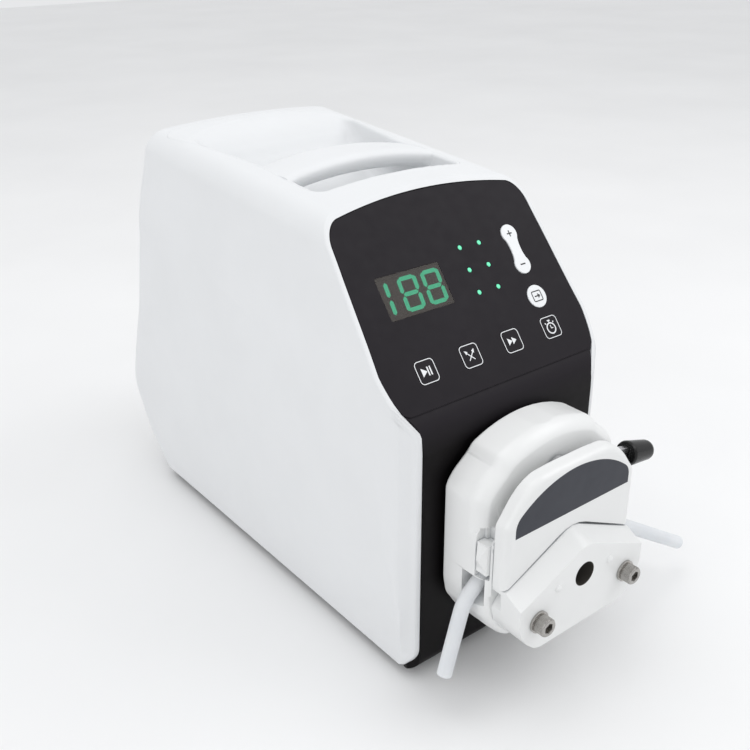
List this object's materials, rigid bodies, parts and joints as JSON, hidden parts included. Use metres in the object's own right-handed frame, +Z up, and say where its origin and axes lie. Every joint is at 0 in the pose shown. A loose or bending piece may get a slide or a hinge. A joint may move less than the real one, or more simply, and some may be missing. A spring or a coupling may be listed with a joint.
{
  "type": "benchtop peristaltic pump",
  "caption": "Benchtop peristaltic pump: white case with a sloping control panel and carry handle, and an easy-load roller head with lever and tube.",
  "frame": {"origin": "on the bench, midway between the four rubber feet", "axes": "+X to the operator's right, +Y from the pump head back through the case, +Z up"},
  "size_m": [0.2045, 0.3829, 0.2609],
  "materials": {
    "white_shell": "fine moulded texture, cool white",
    "white_head": "satin moulded white",
    "white_key": "smooth white key",
    "black_front": "satin black moulding",
    "panel_film": "printed charcoal film",
    "window": "smoked display window",
    "digit_green": "lit green segments",
    "lamp_green": "lit green lamps",
    "dark_module": "dark moulded plastic",
    "circuit_board": "green solder mask",
    "black_base": "textured black base",
    "foot_rubber": "soft dark rubber",
    "steel": "machined steel",
    "zinc_steel": "zinc plated sheet",
    "motor_black": "black motor frame",
    "brass": "turned brass",
    "supply_case": "folded aluminium case",
    "rear_black": "dark rear plate",
    "adapter_dark": "dark moulded plate",
    "bed_plastic": "smooth grey-white track",
    "label_slate": "slate printed label",
    "roller_steel": "polished rollers",
    "lever_black": "glossy black grip",
    "screw_nickel": "bright nickel plate",
    "clear_tube": "translucent silicone"
  },
  "bodies": {
    "drive_unit": {"outer_shell": "white_shell", "handle_tray": "white_shell", "carry_handle": "white_shell", "front_bezel": "black_front", "panel_film": "panel_film", "display_window": "window", "digit_module": "dark_module", "digit_segments": "digit_green", "indicator_leds": "lamp_green", "key_switches": "dark_module", "display_board": "circuit_board", "base_tray": "black_base", "rubber_feet": "foot_rubber", "foot_screws": "steel", "motor_plate": "zinc_steel", "drive_motor": "motor_black", "control_board": "circuit_board", "board_standoffs": "brass", "power_supply": "supply_case", "rear_panel": "rear_black", "power_inlet": "dark_module", "fuse_drawer": "dark_module", "switch_housing": "dark_module", "control_port": "zinc_steel", "adapter_plate": "adapter_dark", "head_body": "white_head", "lower_block": "white_head", "shaft_bearings": "steel", "mounting_screws": "screw_nickel", "screw_washers": "screw_nickel", "tube": "clear_tube"},
    "lever": {"cam_shaft": "steel", "lever_arm": "steel", "lever_grip": "lever_black"},
    "pressure_block": {"pressure_block": "white_head", "occlusion_bed": "bed_plastic", "head_label": "label_slate"},
    "rotor": {"drive_shaft": "steel", "rotor_shaft": "steel", "rotor_discs": "steel", "roller_pins": "steel"},
    "roller_1": {"roller_1": "roller_steel"},
    "roller_2": {"roller_2": "roller_steel"},
    "roller_3": {"roller_3": "roller_steel"},
    "start_key": {"start_key": "panel_film"},
    "direction_key": {"direction_key": "panel_film"},
    "prime_key": {"prime_key": "panel_film"},
    "timer_key": {"timer_key": "panel_film"},
    "mode_key": {"mode_key": "white_key"},
    "speed_rocker": {"speed_rocker": "white_key"},
    "power_switch": {"power_switch": "rear_black"},
    "left_tube_clamp": {"left_tube_clamp": "white_head"},
    "right_tube_clamp": {"right_tube_clamp": "white_head"}
  },
  "joints": [
    {"name": "lever_swing", "type": "hinge", "parent": "drive_unit", "child": "lever", "pos_m": [0, -0.177, 0.126], "axis": [0, -1, 0], "range_deg": [0, 190]},
    {"name": "block_lift", "type": "slide", "parent": "drive_unit", "child": "pressure_block", "axis": [0, 0, 1], "range_m": [0, 0.012]},
    {"name": "rotor_spin", "type": "hinge", "parent": "drive_unit", "child": "rotor", "pos_m": [0, -0.17, 0.074], "axis": [0, 1, 0], "continuous": true},
    {"name": "roller_1_spin", "type": "hinge", "parent": "rotor", "child": "roller_1", "pos_m": [0, -0.17, 0.0935], "axis": [0, 1, 0], "continuous": true},
    {"name": "roller_2_spin", "type": "hinge", "parent": "rotor", "child": "roller_2", "pos_m": [-0.01689, -0.17, 0.06425], "axis": [0, 1, 0], "continuous": true},
    {"name": "roller_3_spin", "type": "hinge", "parent": "rotor", "child": "roller_3", "pos_m": [0.01689, -0.17, 0.06425], "axis": [0, 1, 0], "continuous": true},
    {"name": "start_press", "type": "slide", "parent": "drive_unit", "child": "start_key", "axis": [0, 0.7826, -0.6225], "range_m": [0, 0.0004]},
    {"name": "direction_press", "type": "slide", "parent": "drive_unit", "child": "direction_key", "axis": [0, 0.7826, -0.6225], "range_m": [0, 0.0004]},
    {"name": "prime_press", "type": "slide", "parent": "drive_unit", "child": "prime_key", "axis": [0, 0.7826, -0.6225], "range_m": [0, 0.0004]},
    {"name": "timer_press", "type": "slide", "parent": "drive_unit", "child": "timer_key", "axis": [0, 0.7826, -0.6225], "range_m": [0, 0.0004]},
    {"name": "mode_press", "type": "slide", "parent": "drive_unit", "child": "mode_key", "axis": [0, 0.7826, -0.6225], "range_m": [0, 0.0004]},
    {"name": "speed_rock", "type": "hinge", "parent": "drive_unit", "child": "speed_rocker", "pos_m": [0.0441, -0.09645, 0.20914], "axis": [1, 0, 0], "range_deg": [-1.5, 1.5]},
    {"name": "power_rock", "type": "hinge", "parent": "drive_unit", "child": "power_switch", "pos_m": [0.013, 0.1405, 0.047], "axis": [-1, 0, 0], "range_deg": [0, 16]},
    {"name": "left_clamp_slide", "type": "slide", "parent": "drive_unit", "child": "left_tube_clamp", "axis": [0, 0, 1], "range_m": [0, 0.0065]},
    {"name": "right_clamp_slide", "type": "slide", "parent": "drive_unit", "child": "right_tube_clamp", "axis": [0, 0, 1], "range_m": [0, 0.0065]}
  ],
  "couplings": [
    {"joint": "block_lift", "follows": "lever_swing", "m_per_rad": 0.0036},
    {"joint": "roller_1_spin", "follows": "rotor_spin", "ratio": -3.7857},
    {"joint": "roller_2_spin", "follows": "rotor_spin", "ratio": -3.7857},
    {"joint": "roller_3_spin", "follows": "rotor_spin", "ratio": -3.7857}
  ]
}
